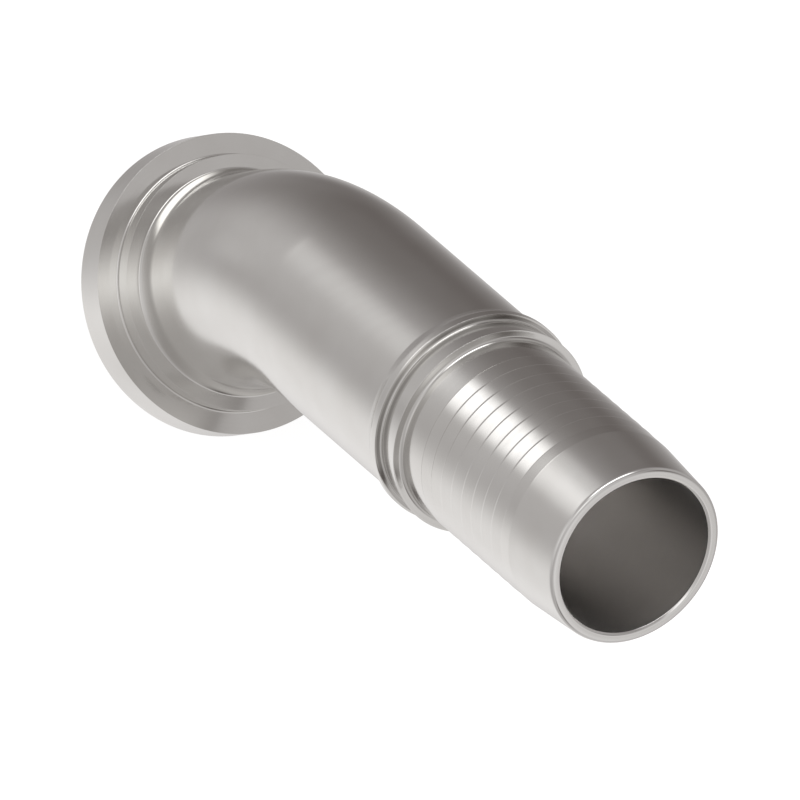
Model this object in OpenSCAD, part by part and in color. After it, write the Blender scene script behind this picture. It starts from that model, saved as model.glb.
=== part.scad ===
// Angled hose nipple: a flange head, a bent tube, a crimp collar and a grooved hose tail in one metal piece.
// The origin is the centre of the sealing face, with the flange axis up. The tail leans towards +X.

/* [Flange head] */
// Diameter of the flange head
head_d = 60.33; // [56:0.01:70]
// Thickness of the flange head at its rim
head_t = 8; // [6:0.1:11]
// Diameter of the hub that the two clamp halves close round
hub_d = 51.4; // [49:0.1:54]
// Height of the hub above the back of the head
hub_h = 4.1; // [2:0.1:6]
// Radius of the fillet where the hub rises from the head
hub_fillet_r = 0.4; // [0.2:0.05:0.8]
// Width of the collar of metal left round the tube at the top of the hub
neck_w = 1.14; // [0.6:0.01:1.8]
// Length of the curve that blends the tube into the hub
neck_l = 3.3; // [2.4:0.1:5]
// Bevel round the rim of the sealing face
head_bevel = 0.4; // [0.2:0.05:1]

/* [Face seal groove] */
// Outer diameter of the groove for the ring seal
seal_d = 54; // [52:0.1:55]
// Width of the groove
seal_w = 4; // [3:0.1:5]
// Depth of the groove
seal_depth = 2.8; // [1.5:0.1:4]

/* [Tube and bend] */
// Outer diameter of the bent tube
tube_d = 43.52; // [42:0.01:45]
// Diameter of the passage from end to end
bore_d = 33.6; // [28:0.1:36]
// Angle of the bend
bend_angle = 30; // [15:1:60]
// Radius of the bend along the middle of the tube
bend_r = 65.25; // [50:0.25:80]
// Length of straight tube from the top of the hub to the bend
stem_l = 11.92; // [6:0.02:40]
// Length of straight tube from the bend to the lock ridge's slope
run_l = 44.72; // [10:0.02:80]
// Amount that the wall thins in the bend, on each face
bend_thinning = 0.01; // [0.005:0.005:0.1]

/* [Crimp collar] */
// Diameter of the collar at its front face
collar_d = 44.4; // [43:0.1:46]
// Width of the lock groove's ramp, from the lock ridge to the front face
ramp_w = 6.23; // [4:0.01:9]
// Diameter at the bottom of the lock groove
lock_d = 42.5; // [41:0.1:43.5]
// Diameter of the lock ridge
ridge_d = 45.56; // [44.5:0.01:48]
// Width of the flat crest of the lock ridge
ridge_w = 1.65; // [1:0.05:3]
// Width of the slope that climbs from the tube to the lock ridge
ridge_slope_w = 2.65; // [1.5:0.05:4]
// Radius in the corner of the lock groove
lock_fillet_r = 0.45; // [0.2:0.05:0.8]
// Radius where the front face meets the tail
collar_fillet_r = 0.8; // [0.3:0.05:1]

/* [Hose tail] */
// Diameter of the hose tail
tail_d = 40.38; // [39:0.01:41.5]
// Number of barbed lands
land_count = 8; // [3:1:10]
// Distance from one land to the next
land_pitch = 3.92; // [3:0.01:4.5]
// Distance from the front face of the collar to the first land
land_start = 7.8; // [4:0.1:12]
// Share of the pitch that the sloping side of a land takes
land_share = 0.9; // [0.6:0.05:0.95]
// Height of each land's edge above the tail
land_rise = 0.08; // [0.04:0.01:0.4]
// Depth of the grooves between the lands, below the tail
land_cut = 0.06; // [0.04:0.01:0.4]
// Length of the plain stretch from the last land to the tapered tip
plain_l = 3; // [1:0.1:20]
// Length of the tapered tip
tip_l = 14.9; // [8:0.1:20]
// Diameter that the taper reaches at the end
tip_d = 38.1; // [36.5:0.1:39]
// Radius round the outer edge of the end
tip_round_r = 0.7; // [0.3:0.05:1]
// Bevel at both mouths of the passage
mouth_bevel = 0.43; // [0.2:0.01:0.8]

/* [Hidden] */
$fn = 120;
head_r = head_d / 2;
hub_r = hub_d / 2;
hub_top = head_t + hub_h;
tube_r = tube_d / 2;
bore_r = bore_d / 2;
seal_r = seal_d / 2;
// The neck's curve runs into the tube and meets the top of the hub at an angle.
neck_curve_r = (neck_l * neck_l + neck_w * neck_w) / (2 * neck_w);
// The bend starts this far below the corner, where the two axes cross, and ends this far beyond it.
bend_reach = bend_r * tan(bend_angle / 2);
bend_start = hub_top + stem_l;
corner_h = bend_start + bend_reach;
// Places along the tail axis, measured from the corner
slope_start = bend_reach + run_l;
ridge_start = slope_start + ridge_slope_w;
ridge_end = ridge_start + ridge_w;
collar_front = ridge_end + ramp_w;
collar_r = collar_d / 2;
lock_r = lock_d / 2;
ridge_r = ridge_d / 2;
tail_r = tail_d / 2;
first_land = collar_front + land_start;
land_w = land_pitch * land_share;
land_gap = land_pitch - land_w;
lands_end = first_land + land_count * land_pitch - land_gap;
tip_start = lands_end + plain_l;
tail_end = tip_start + tip_l;
tip_r = tip_d / 2;
land_top_r = tail_r + land_rise;
land_foot_r = tail_r - land_cut;
// Length over which each straight end tapers as it runs into the bend, so that their faces cross
bend_lap = 0.4;
// The thinner wall that each straight end tapers to
lap_outer_r = tube_r - 2 * bend_thinning;
lap_bore_r = bore_r + 2 * bend_thinning;
// How far a corner's web reaches past the edges, as a multiple of its own depth
web_reach = 1.3;
// Small change of a web's radius, so that its arc crosses the edges and doesn't just touch them
web_bite = 0.0002;

function unit(v) = v / norm(v);

// The web between a corner and the arc that rounds it. The edges leave the corner along a and b.
// It fills an inside corner with a positive bite, and trims an outside one with a negative bite.
module corner_web(at, a, b, radius, bite) {
    along_a = unit(a);
    along_b = unit(b);
    half = acos(along_a * along_b) / 2;
    reach = radius / tan(half);
    centre = at + unit(along_a + along_b) * radius / sin(half);
    translate(centre) {
        difference() {
            polygon([
                [0, 0],
                web_reach * (at + along_a * reach - centre),
                web_reach * (at - centre),
                web_reach * (at + along_b * reach - centre),
            ]);
            circle(radius + bite);
        }
    }
}

// Half section of the head, the hub and the straight length up to the bend
module head_section() {
    difference() {
        union() {
            polygon([
                [bore_r + mouth_bevel, 0],
                [head_r - head_bevel, 0],
                [head_r, head_bevel],
                [head_r, head_t],
                [hub_r, head_t],
                [hub_r, hub_top],
                [tube_r, hub_top],
                [tube_r, bend_start],
                [lap_outer_r, bend_start + bend_lap],
                [lap_bore_r, bend_start + bend_lap],
                [bore_r, bend_start],
                [bore_r, mouth_bevel],
            ]);
            corner_web([hub_r, head_t], [1, 0], [0, 1], hub_fillet_r, web_bite);
            neck_blend();
        }
        translate([seal_r - seal_w, 0]) square([seal_w, seal_depth]);
    }
}

module neck_blend() {
    translate([tube_r, hub_top]) {
        difference() {
            square([neck_w, neck_l]);
            translate([neck_curve_r, neck_l]) circle(neck_curve_r);
        }
    }
}

// Half section of the tail side, with the distance from the corner as its height
module tail_section() {
    ramp = [collar_r - lock_r, ramp_w];
    taper = [tail_r - tip_r, -tip_l];
    difference() {
        union() {
            polygon(concat(
                [
                    [bore_r, bend_reach],
                    [lap_bore_r, bend_reach - bend_lap],
                    [lap_outer_r, bend_reach - bend_lap],
                    [tube_r, bend_reach],
                    [tube_r, slope_start],
                    [ridge_r, ridge_start],
                    [ridge_r, ridge_end],
                    [lock_r, ridge_end],
                    [collar_r, collar_front],
                    [tail_r, collar_front],
                ],
                land_points(),
                [
                    [tail_r, lands_end],
                    [tail_r, tip_start],
                    [tip_r, tail_end],
                    [bore_r + mouth_bevel, tail_end],
                    [bore_r, tail_end - mouth_bevel],
                ]
            ));
            corner_web([lock_r, ridge_end], [1, 0], ramp, lock_fillet_r, web_bite);
            corner_web([tail_r, collar_front], [1, 0], [0, 1], collar_fillet_r, web_bite);
        }
        corner_web([tip_r, tail_end], [-1, 0], taper, tip_round_r, -web_bite);
    }
}

// Each land slopes down towards the end of the tail, and a short rise leads to the next one.
function land_points() = concat(
    [[tail_r, first_land - land_rise]],
    [
        for (i = [0 : land_count - 1])
            let (at = first_land + i * land_pitch)
            each [[land_top_r, at], [land_foot_r, at + land_w]]
    ]
);

module bend() {
    translate([bend_r, 0, bend_start])
        rotate([90, 0, 0])
            rotate_extrude(angle = bend_angle, start = 180 - bend_angle)
                translate([bend_r, 0]) {
                    difference() {
                        circle(tube_r - bend_thinning);
                        circle(bore_r + bend_thinning);
                    }
                }
}

module nipple() {
    color("silver") {
        rotate_extrude() head_section();
        bend();
        translate([0, 0, corner_h])
            rotate([0, bend_angle, 0])
                rotate_extrude() tail_section();
    }
}

nipple();
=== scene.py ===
import math

import bmesh
import bpy
from mathutils import Matrix, Vector


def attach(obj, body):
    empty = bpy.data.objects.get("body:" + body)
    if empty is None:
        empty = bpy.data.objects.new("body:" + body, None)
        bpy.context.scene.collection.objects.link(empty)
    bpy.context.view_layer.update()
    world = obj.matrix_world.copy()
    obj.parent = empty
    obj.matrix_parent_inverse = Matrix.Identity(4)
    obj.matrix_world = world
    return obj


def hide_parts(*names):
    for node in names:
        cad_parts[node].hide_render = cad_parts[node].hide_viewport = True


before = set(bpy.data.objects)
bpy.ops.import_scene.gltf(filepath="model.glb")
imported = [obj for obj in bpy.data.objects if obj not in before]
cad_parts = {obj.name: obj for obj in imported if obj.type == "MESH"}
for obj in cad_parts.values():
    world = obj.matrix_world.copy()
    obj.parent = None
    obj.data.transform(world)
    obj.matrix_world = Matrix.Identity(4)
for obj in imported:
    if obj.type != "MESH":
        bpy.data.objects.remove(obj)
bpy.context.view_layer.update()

# The flange head, its hub and the neck, turned on a lathe from the thick end of one stainless tube.
# A split clamp presses on the back of the head. The sealing face underneath has the groove of the ring seal
# and the mouth of the passage. Each turned stretch is drawn as the tool's path, and then spun round its axis.
mm = 0.001
steps_round = 240
tube_r = 21.76 * mm
bore_r = 16.8 * mm
mouth_bevel = 0.43 * mm
head_r = 30.165 * mm
head_t = 8 * mm
head_bevel = 0.4 * mm
head_edge = 0.05 * mm
hub_r = 25.7 * mm
hub_top = 12.1 * mm
hub_foot = 0.4 * mm
hub_edge = 0.03 * mm
neck_w = 1.14 * mm
neck_l = 4 * mm
neck_foot = 0.2 * mm
seal_r = 27 * mm
seal_w = 4 * mm
seal_depth = 2.8 * mm
seal_edge = 0.2 * mm
stem_top = hub_top + 11.92 * mm
flange_at = Vector((0, 0, 0))
flange_axis = Vector((0, 0, 1))
wear_reach = 0.35 * mm
edge_segments = 4
wear_room = 3
same_radius = 0.01 * mm
turned, polished, drawn, tail_turned, undercut_painted_shade = range(5)
metal = bmesh.new()
wear_layer = metal.verts.layers.float.new("wear")


def turn_profile(corners, centre, axis, plain_from, plain_to, finish):
    """Turns a stretch of the nipple. Each corner is (radius, place along the axis, rounding, wear)."""
    made_before = set(metal.faces)
    outwards = Vector((axis.z, 0, -axis.x))
    points = [centre + outwards * r + axis * place for r, place, _, _ in corners]
    chain = []
    rounded = []
    for number, (point, corner) in enumerate(zip(points, corners)):
        rounding, wear = corner[2:]
        reach = rounding + wear_reach
        before = points[number - 1] - point if number else Vector()
        after = points[number + 1] - point if number + 1 < len(points) else Vector()
        if wear and before.length > wear_room * reach:
            chain.append(metal.verts.new(point + before.normalized() * reach))
        vertex = metal.verts.new(point)
        chain.append(vertex)
        if rounding:
            rounded.append((vertex, rounding, wear))
        if wear and after.length > wear_room * reach:
            chain.append(metal.verts.new(point + after.normalized() * reach))
    for pair in zip(chain, chain[1:]):
        metal.edges.new(pair)
    for vertex, rounding, wear in rounded:
        arc = bmesh.ops.bevel(
            metal, geom=[vertex], offset=rounding, offset_type="OFFSET", segments=edge_segments,
            profile=0.5, affect="VERTICES", material=-1, clamp_overlap=False,
        )
        for worn in arc["verts"]:
            worn[wear_layer] = wear
    bmesh.ops.spin(
        metal, geom=[edge for edge in metal.edges if edge.is_wire], cent=centre, axis=axis,
        dvec=(0, 0, 0), angle=math.tau, steps=steps_round, use_merge=True, use_duplicate=False,
    )
    for face in set(metal.faces) - made_before:
        middle = face.calc_center_median() - centre
        place = middle.dot(axis)
        radius = (middle - axis * place).length
        if radius < bore_r + same_radius:
            face.material_index = drawn
        elif plain_from < place < plain_to and abs(radius - tube_r) < same_radius:
            face.material_index = polished
        else:
            face.material_index = finish


neck_curve_r = (neck_l ** 2 + neck_w ** 2) / (2 * neck_w)
neck_turn = math.asin(neck_l / neck_curve_r)
neck_curve = [
    (
        tube_r + neck_curve_r * (1 - math.cos(neck_turn * share)),
        hub_top + neck_l - neck_curve_r * math.sin(neck_turn * share),
        neck_foot if share == 1 else 0, 0,
    )
    for share in (1, 0.84, 0.72, 0.6, 0.48, 0.36, 0.24, 0.12, 0.04, 0)
]
turn_profile(
    [
        (bore_r, stem_top, 0, 0),
        (bore_r, mouth_bevel, 0.1 * mm, 0.4),
        (bore_r + mouth_bevel, 0, 0.1 * mm, 0.8),
        (seal_r - seal_w, 0, seal_edge, 0.6),
        (seal_r - seal_w, seal_depth, seal_edge, 0),
        (seal_r, seal_depth, seal_edge, 0),
        (seal_r, 0, seal_edge, 0.6),
        (head_r - head_bevel, 0, 0.1 * mm, 1),
        (head_r, head_bevel, 0.1 * mm, 1),
        (head_r, head_t, head_edge, 0),
        (hub_r, head_t, hub_foot, 0),
        (hub_r, hub_top, hub_edge, 0),
        *neck_curve,
        (tube_r, stem_top, 0, 0),
    ],
    flange_at, flange_axis, hub_top + neck_l, stem_top, turned,
)

# The bend of the tube, made on a mandrel so that it stays round, and polished on a belt.
# It has no seam with the turned ends, because the whole nipple is one tube.
bend_r = 65.25 * mm
bend_angle = math.radians(30)
bend_steps = 40
made_before = set(metal.faces)
tube_ends = [
    edge for edge in metal.edges
    if edge.is_boundary and all(abs(vertex.co.z - stem_top) < same_radius for vertex in edge.verts)
]
bmesh.ops.spin(
    metal, geom=tube_ends, cent=(bend_r, 0, stem_top), axis=(0, 1, 0), dvec=(0, 0, 0),
    angle=bend_angle, steps=bend_steps, use_merge=False, use_duplicate=False,
)
for face in set(metal.faces) - made_before:
    middle = face.calc_center_median()
    off_middle = math.hypot(middle.x - bend_r, middle.z - stem_top) - bend_r
    inside = math.hypot(off_middle, middle.y) < (bore_r + tube_r) / 2
    face.material_index = drawn if inside else polished
bmesh.ops.recalc_face_normals(metal, faces=metal.faces)

# The crimp collar and the hose tail, turned on the far end of the same tube.
# The ferrule of the hose locks in the collar's groove.
# The shallow lands slope down towards the end, so the hose slides on and doesn't pull off.
bend_reach = bend_r * math.tan(bend_angle / 2)
tail_at = Vector((0, 0, stem_top + bend_reach))
tail_axis = Vector((math.sin(bend_angle), 0, math.cos(bend_angle)))
slope_start = bend_reach + 44.72 * mm
ridge_start = slope_start + 2.65 * mm
ridge_end = ridge_start + 1.65 * mm
collar_front = ridge_end + 6.23 * mm
ridge_r = 22.78 * mm
lock_r = 21.25 * mm
collar_r = 22.2 * mm
tail_r = 20.19 * mm
land_count = 8
land_pitch = 3.92 * mm
land_w = 0.9 * land_pitch
land_edge = 0.04 * mm
land_root = 0.16 * mm
land_top_r = 20.27 * mm
land_foot_r = 20.13 * mm
first_land = collar_front + 7.8 * mm
first_rise = 0.2 * mm
last_drop = 0.1 * mm
lands_end = first_land + land_count * land_pitch - (land_pitch - land_w)
tip_start = lands_end + 3 * mm
tail_end = tip_start + 14.9 * mm
tip_r = 19.05 * mm
lands = []
for number in range(land_count):
    top = first_land + number * land_pitch
    lands += [(land_top_r, top, land_edge, 0), (land_foot_r, top + land_w, land_root, 0)]
turn_profile(
    [
        (tube_r, bend_reach, 0, 0),
        (tube_r, slope_start, 0.15 * mm, 0),
        (ridge_r, ridge_start, 0.06 * mm, 0.2),
        (ridge_r, ridge_end, 0.05 * mm, 0.3),
        (lock_r, ridge_end, 0.45 * mm, 0),
        (collar_r, collar_front, 0.06 * mm, 0.3),
        (tail_r, collar_front, 0.8 * mm, 0),
        (tail_r, first_land - first_rise, land_edge, 0),
        *lands,
        (tail_r, lands_end + last_drop, land_edge, 0),
        (tail_r, tip_start, 0.1 * mm, 0),
        (tip_r, tail_end, 0.7 * mm, 0.8),
        (bore_r + mouth_bevel, tail_end, 0.1 * mm, 0.8),
        (bore_r, tail_end - mouth_bevel, 0.1 * mm, 0.4),
        (bore_r, bend_reach, 0, 0),
    ],
    tail_at, tail_axis, bend_reach, slope_start, tail_turned,
)

# The steep wall of the lock groove, a flat ring that faces along the tail.
# It is turned but not polished, because a belt can't reach into the groove, so it is a little rougher. Its
# colour is darkened as painted shade for the groove.
wall_reach = 0.1 * mm
looks_along = 0.98
for face in metal.faces:
    off_ridge = abs((face.calc_center_median() - tail_at).dot(tail_axis) - ridge_end)
    if off_ridge < wall_reach and face.normal.dot(tail_axis) > looks_along:
        face.material_index = undercut_painted_shade

# The finished nipple is one closed skin of metal, with the bend's rings joined to those of the turned ends.
# Its shading is smooth round the tube, and only true corners stay sharp.
merge_gap = 0.002 * mm
corner_angle = math.radians(40)
bmesh.ops.remove_doubles(metal, verts=metal.verts, dist=merge_gap)
bmesh.ops.recalc_face_normals(metal, faces=metal.faces)
for face in metal.faces:
    face.smooth = True
for edge in metal.edges:
    edge.smooth = edge.calc_face_angle(0) < corner_angle
nipple_mesh = bpy.data.meshes.new("nipple_metal")
metal.to_mesh(nipple_mesh)
metal.free()
nipple = bpy.data.objects.new("nipple_metal", nipple_mesh)
bpy.context.scene.collection.objects.link(nipple)
even_normals = nipple.modifiers.new("even_normals", "WEIGHTED_NORMAL")
even_normals.keep_sharp = True
even_normals.weight = 80

# The stainless skin in its five finishes: turned flange, turned tail, belt-polished tube, drawn bore
# with its tone lifted as painted light, and undercut, a little rougher, with its tone darkened as painted
# shade.
# Each has fine marks in its own direction, soft clouds in its sheen, and edges rubbed bright.
steel_tone = (0.72, 0.714, 0.698)
steel_dull = (0.685, 0.675, 0.655)
steel_rubbed = (0.80, 0.795, 0.785)
# The bore's tones: lighter than the outer steel, as painted light in the shaded passage.
bore_painted_light_tone = (0.86, 0.845, 0.828)
bore_painted_light_dull = (0.84, 0.824, 0.808)
# The groove wall's tones: darker than the steel, as painted shade.
shaded_wall_tone = (0.5, 0.49, 0.475)
shaded_wall_dull = (0.45, 0.44, 0.425)
clouds_per_metre = 70
rub_gloss = 0.03
mark_strength = 0.35
speck_share = 0.3
wide_mark_share = 0.6


def new_group(name, inputs, outputs):
    """A shader node group with its named sockets, and its two end nodes."""
    group = bpy.data.node_groups.new(name, "ShaderNodeTree")
    for socket, kind in inputs:
        group.interface.new_socket(socket, in_out="INPUT", socket_type=kind)
    for socket, kind in outputs:
        group.interface.new_socket(socket, in_out="OUTPUT", socket_type=kind)
    return group, group.nodes.new("NodeGroupInput"), group.nodes.new("NodeGroupOutput")


def maths(tree, operation, *values):
    """A Math node whose values are numbers or other nodes' sockets."""
    node = tree.nodes.new("ShaderNodeMath")
    node.operation = operation
    for socket, value in zip(node.inputs, values):
        if isinstance(value, bpy.types.NodeSocket):
            tree.links.new(value, socket)
        else:
            socket.default_value = value
    return node.outputs[0]


def vector_maths(tree, operation, *values):
    """A Vector Math node whose values are vectors or other nodes' sockets."""
    node = tree.nodes.new("ShaderNodeVectorMath")
    node.operation = operation
    for socket, value in zip(node.inputs, values):
        if isinstance(value, bpy.types.NodeSocket):
            tree.links.new(value, socket)
        else:
            socket.default_value = value
    return node.outputs["Value"] if operation in ("DOT_PRODUCT", "LENGTH") else node.outputs["Vector"]


def noise(tree, dimensions, vector, scale, detail, roughness=0.5):
    """A noise pattern from 0 to 1, on a position or on a single number."""
    node = tree.nodes.new("ShaderNodeTexNoise")
    node.noise_dimensions = dimensions
    tree.links.new(vector, node.inputs["W" if dimensions == "1D" else "Vector"])
    node.inputs["Scale"].default_value = scale
    node.inputs["Detail"].default_value = detail
    node.inputs["Roughness"].default_value = roughness
    return node.outputs["Fac"]


# Turning marks: rings round an axis, set by how far a point is along it and out from it.
turning, given, made = new_group(
    "turning_marks",
    [("Position", "NodeSocketVector"), ("Axis Foot", "NodeSocketVector"), ("Axis", "NodeSocketVector"),
     ("Marks Per Metre", "NodeSocketFloat")],
    [("Fine Marks", "NodeSocketFloat"), ("Wide Marks", "NodeSocketFloat")],
)
off_foot = vector_maths(turning, "SUBTRACT", given.outputs["Position"], given.outputs["Axis Foot"])
place = vector_maths(turning, "DOT_PRODUCT", off_foot, given.outputs["Axis"])
along = turning.nodes.new("ShaderNodeVectorMath")
along.operation = "SCALE"
turning.links.new(given.outputs["Axis"], along.inputs[0])
turning.links.new(place, along.inputs["Scale"])
radius = vector_maths(turning, "LENGTH", vector_maths(turning, "SUBTRACT", off_foot, along.outputs["Vector"]))
tool_path = maths(turning, "MULTIPLY", maths(turning, "ADD", place, radius), given.outputs["Marks Per Metre"])
turning.links.new(noise(turning, "1D", tool_path, 1, 3, 0.65), made.inputs["Fine Marks"])
turning.links.new(noise(turning, "1D", tool_path, 0.11, 2), made.inputs["Wide Marks"])

# Handling: soft clouds and fine specks that the fingers and the wiping cloth leave in the sheen.
handling, given, made = new_group(
    "handling",
    [("Position", "NodeSocketVector"), ("Clouds Per Metre", "NodeSocketFloat")],
    [("Clouds", "NodeSocketFloat"), ("Specks", "NodeSocketFloat")],
)
clouds_at = handling.nodes.new("ShaderNodeVectorMath")
clouds_at.operation = "SCALE"
handling.links.new(given.outputs["Position"], clouds_at.inputs[0])
handling.links.new(given.outputs["Clouds Per Metre"], clouds_at.inputs["Scale"])
handling.links.new(noise(handling, "3D", clouds_at.outputs["Vector"], 1, 4, 0.55), made.inputs["Clouds"])
handling.links.new(noise(handling, "3D", clouds_at.outputs["Vector"], 26, 3, 0.6), made.inputs["Specks"])


def between(tree, value, low, high, to_low, to_high):
    """Maps a value from one range to another, and holds it inside."""
    node = tree.nodes.new("ShaderNodeMapRange")
    tree.links.new(value, node.inputs["Value"])
    for socket, number in (("From Min", low), ("From Max", high), ("To Min", to_low), ("To Max", to_high)):
        node.inputs[socket].default_value = number
    return node.outputs["Result"]


def blend(tree, share, first, second):
    """Mixes two colours by a share from 0 to 1."""
    node = tree.nodes.new("ShaderNodeMix")
    node.data_type = "RGBA"
    tree.links.new(share, node.inputs["Factor"])
    for socket, colour in ((node.inputs["A"], first), (node.inputs["B"], second)):
        if isinstance(colour, bpy.types.NodeSocket):
            tree.links.new(colour, socket)
        else:
            socket.default_value = (*colour, 1)
    return node.outputs["Result"]


def stainless(name, foot, axis, marks, mark_depth, sheen, sheen_range, tone, dull):
    """A finish of the steel: its marks run round the axis through foot."""
    steel = bpy.data.materials.new(name)
    steel.use_nodes = True
    tree = steel.node_tree
    shader = tree.nodes["Principled BSDF"]
    shader.inputs["Metallic"].default_value = 1
    position = tree.nodes.new("ShaderNodeTexCoord").outputs["Object"]
    rings = tree.nodes.new("ShaderNodeGroup")
    rings.node_tree = turning
    tree.links.new(position, rings.inputs["Position"])
    rings.inputs["Axis Foot"].default_value = foot
    rings.inputs["Axis"].default_value = axis
    rings.inputs["Marks Per Metre"].default_value = marks
    touched = tree.nodes.new("ShaderNodeGroup")
    touched.node_tree = handling
    tree.links.new(position, touched.inputs["Position"])
    touched.inputs["Clouds Per Metre"].default_value = clouds_per_metre
    worn = tree.nodes.new("ShaderNodeAttribute")
    worn.attribute_name = "wear"
    rubbed = maths(tree, "MULTIPLY", worn.outputs["Fac"],
                   between(tree, touched.outputs["Clouds"], 0.3, 0.6, 0.35, 1))
    aged = blend(tree, between(tree, touched.outputs["Clouds"], 0.35, 0.7, 0, 1), tone, dull)
    tree.links.new(blend(tree, rubbed, aged, steel_rubbed), shader.inputs["Base Color"])
    unevenness = maths(tree, "ADD", touched.outputs["Clouds"],
                       maths(tree, "MULTIPLY", rings.outputs["Wide Marks"], wide_mark_share))
    roughness = between(tree, unevenness, 0.45, 1.15, sheen - sheen_range, sheen + sheen_range)
    fine_marks = maths(tree, "SUBTRACT", rings.outputs["Fine Marks"], 0.5)
    fine = maths(tree, "MULTIPLY", fine_marks, sheen_range * 1.5)
    softened = maths(tree, "ADD", roughness, fine)
    tree.links.new(maths(tree, "SUBTRACT", softened, maths(tree, "MULTIPLY", rubbed, rub_gloss)),
                   shader.inputs["Roughness"])
    bump = tree.nodes.new("ShaderNodeBump")
    bump.inputs["Strength"].default_value = mark_strength
    bump.inputs["Distance"].default_value = mark_depth
    relief = maths(tree, "ADD", rings.outputs["Fine Marks"],
                   maths(tree, "MULTIPLY", touched.outputs["Specks"], speck_share))
    tree.links.new(relief, bump.inputs["Height"])
    tree.links.new(bump.outputs["Normal"], shader.inputs["Normal"])
    nipple_mesh.materials.append(steel)


# The finishes come in the order of their face numbers: turned, polished, drawn, tail_turned, undercut.
stainless("turned_flange", flange_at, flange_axis, 5200, 0.002 * mm, 0.12, 0.025, steel_tone, steel_dull)
stainless("polished_tube", flange_at, flange_axis, 3500, 0.0006 * mm, 0.125, 0.02, steel_tone, steel_dull)
# The bore's material: its lighter tones are painted light.
stainless("drawn_bore_painted_light", tail_at, tail_axis, 2500, 0.0001 * mm, 0.34, 0.03, bore_painted_light_tone, bore_painted_light_dull)
stainless("turned_tail", tail_at, tail_axis, 5200, 0.002 * mm, 0.12, 0.025, steel_tone, steel_dull)
# The groove wall's material: its darker tones are painted shade.
stainless("undercut_painted_shade", tail_at, tail_axis, 5200, 0.003 * mm, 0.15, 0.03, shaded_wall_tone, shaded_wall_dull)
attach(nipple, "root")
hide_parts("nipple")

# The studio's white floor, a flat sheet of matt paper under the nipple. It glows a little towards the camera,
# and keeps a faint shadow. Glossy rays pass it by, so the metal doesn't show it.
floor_half = 2
floor_grey = (0.4, 0.4, 0.4, 1)
floor_glow = 0.82
floor_mesh = bpy.data.meshes.new("floor")
floor_shape = bmesh.new()
bmesh.ops.create_grid(floor_shape, x_segments=1, y_segments=1, size=floor_half)
floor_shape.to_mesh(floor_mesh)
floor_shape.free()
floor = bpy.data.objects.new("floor", floor_mesh)
bpy.context.scene.collection.objects.link(floor)
floor.visible_glossy = False
paper = bpy.data.materials.new("white_paper")
paper.use_nodes = True
paper_tree = paper.node_tree
paper_tree.nodes.remove(paper_tree.nodes["Principled BSDF"])
matt = paper_tree.nodes.new("ShaderNodeBsdfDiffuse")
matt.inputs["Color"].default_value = floor_grey
glow = paper_tree.nodes.new("ShaderNodeEmission")
seen = paper_tree.nodes.new("ShaderNodeLightPath")
seen_glow = maths(paper_tree, "MULTIPLY", seen.outputs["Is Camera Ray"], floor_glow)
paper_tree.links.new(seen_glow, glow.inputs["Strength"])
both = paper_tree.nodes.new("ShaderNodeAddShader")
paper_tree.links.new(matt.outputs["BSDF"], both.inputs[0])
paper_tree.links.new(glow.outputs["Emission"], both.inputs[1])
paper_tree.links.new(both.outputs["Shader"], paper_tree.nodes["Material Output"].inputs["Surface"])
floor_mesh.materials.append(paper)

# The studio round the nipple, painted on the world: soft patches of light, patches that take light away where
# their strength is below zero, and three sharper lamps. Only camera rays see the plain white background.
# Most of these rows were worked out by a fitting program from the photograph's tones, and then rounded.
# Each patch is (azimuth, elevation, tightness, strength). Azimuth 0 is +X, and 90 is +Y.
soft_panels = [
    (212, -66, 6.3, 1.56),
    (172, -65, 9.7, -0.85),
    (228, -57, 11.2, -1.09),
    (161, -24, 8, -0.28),
    (128, -30, 24, -0.18),
    (120, -49, 55, -0.14),
    (222, -46, 90, 0.13),
    (265, -55, 24, 0.23),
    (261, 10, 8, 0.32),
    (6, -53, 8, 0.34),
    (13, 25, 7, 0.36),
    (229, 76, 6, 0.23),
    (251, 73, 32, 0.22),
    (247, 59, 42, 0.53),
    (83, 64, 60, 0.16),
    (78, 46, 25, -0.36),
    (128, 64, 40, -0.18),
    (184, 70, 75, -0.26),
    (140, 37, 32, -0.19),
    (359, 13, 60, -0.6),
]
# Each lamp is (azimuth, elevation, turn, half length, half width, strength), with its halves as tangents.
sharp_lamps = [
    (202.4, -17, 1, 0.266, 0.026, 1.6),
    (208.5, -12.8, 23, 0.23, 0.05, 0.5),
    (181.4, 32.6, 0, 0.43, 0.24, 2.1),
]
room_tone = (0.47, 0.452, 0.446)
lamp_end_softness = 0.05
lamp_side_softness = 0.02
least_facing = 0.05
lit_facing = 0.06
steepest = 30
world = bpy.data.worlds.new("studio")
bpy.context.scene.world = world
world.use_nodes = True
sky = world.node_tree
ray = vector_maths(sky, "NORMALIZE", sky.nodes.new("ShaderNodeTexCoord").outputs["Generated"])


def direction(azimuth, elevation):
    """The direction towards a lamp, from its angles in degrees."""
    round_z = math.radians(azimuth)
    up = math.radians(elevation)
    return Vector((math.cos(up) * math.cos(round_z), math.cos(up) * math.sin(round_z), math.sin(up)))


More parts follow.
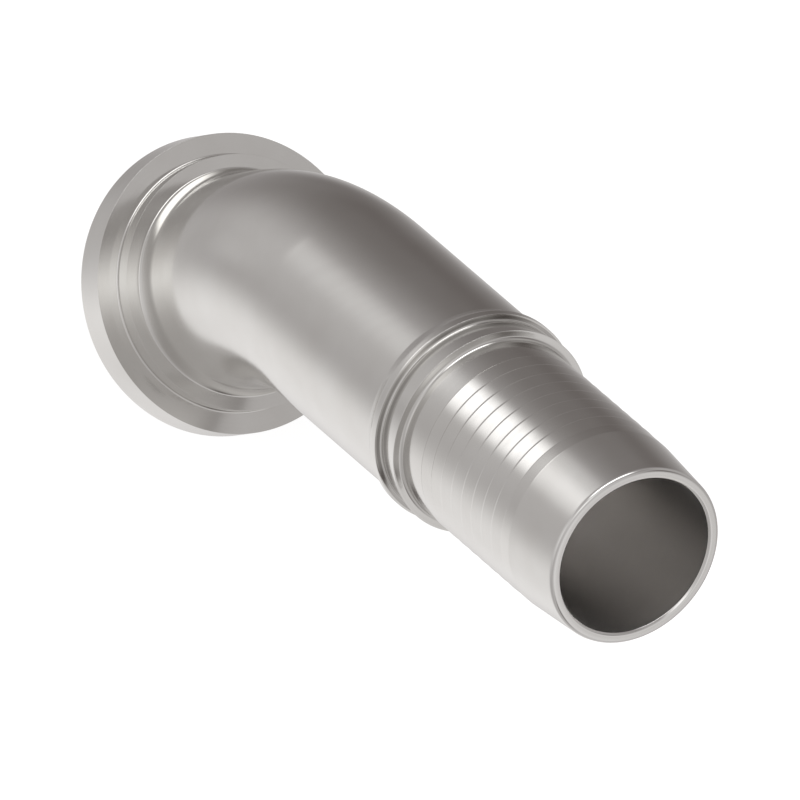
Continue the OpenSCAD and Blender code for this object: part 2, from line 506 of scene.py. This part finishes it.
light = 0.0
for azimuth, elevation, tightness, strength in soft_panels:
    facing = vector_maths(sky, "DOT_PRODUCT", ray, direction(azimuth, elevation))
    share = maths(sky, "EXPONENT", maths(sky, "MULTIPLY", maths(sky, "SUBTRACT", facing, 1), tightness))
    light = maths(sky, "MULTIPLY_ADD", share, strength, light)
for azimuth, elevation, turn, half_l, half_w, strength in sharp_lamps:
    middle = direction(azimuth, elevation)
    level = tail_axis.cross(middle).normalized()
    tilt = middle.cross(level)
    turn = math.radians(turn)
    long_way = level * math.cos(turn) + tilt * math.sin(turn)
    cross_way = tilt * math.cos(turn) - level * math.sin(turn)
    facing = maths(sky, "MAXIMUM", vector_maths(sky, "DOT_PRODUCT", ray, middle), least_facing)
    share = maths(sky, "GREATER_THAN", facing, lit_facing)
    sides = ((long_way, half_l, lamp_end_softness), (cross_way, half_w, lamp_side_softness))
    for way, half, softness in sides:
        off = maths(sky, "ABSOLUTE", maths(sky, "DIVIDE", vector_maths(sky, "DOT_PRODUCT", ray, way), facing))
        steep = maths(sky, "DIVIDE", maths(sky, "SUBTRACT", off, half), softness)
        falloff = maths(sky, "EXPONENT", maths(sky, "MINIMUM", steep, steepest))
        inside = maths(sky, "DIVIDE", 1, maths(sky, "ADD", 1, falloff))
        share = maths(sky, "MULTIPLY", share, inside)
    light = maths(sky, "MULTIPLY_ADD", share, strength, light)
light = vector_maths(sky, "ADD", room_tone, light)
light = vector_maths(sky, "MAXIMUM", light, (0, 0, 0))
view_ray = sky.nodes.new("ShaderNodeLightPath")
sky.links.new(
    blend(sky, view_ray.outputs["Is Camera Ray"], light, (1, 1, 1)),
    sky.nodes["Background"].inputs["Color"],
)

# The camera, with a very long lens, because the photograph shows hardly any perspective.
# Its aim and width were fitted to the edges of the nipple in the photograph, for a square picture.
view_right = Vector((0.2407, 0.8662, 0.4387)).normalized()
view_back = view_right.cross(Vector((-0.9695, 0.2393, 0.0596))).normalized()
view_up = view_back.cross(view_right)
look_at = Vector((30.93, 26.34, 14.74)) * mm
frame_w = 159.91 * mm
camera_data = bpy.data.cameras.new("camera")
camera_data.sensor_width = 36
camera_data.lens = 1700
camera_data.clip_end = 100
distance = frame_w * camera_data.lens / camera_data.sensor_width
camera = bpy.data.objects.new("camera", camera_data)
bpy.context.scene.collection.objects.link(camera)
turn = Matrix((view_right, view_up, view_back)).transposed()
camera.matrix_world = Matrix.Translation(look_at + view_back * distance) @ turn.to_4x4()
bpy.context.scene.camera = camera
bpy.context.scene.view_settings.view_transform = "Standard"
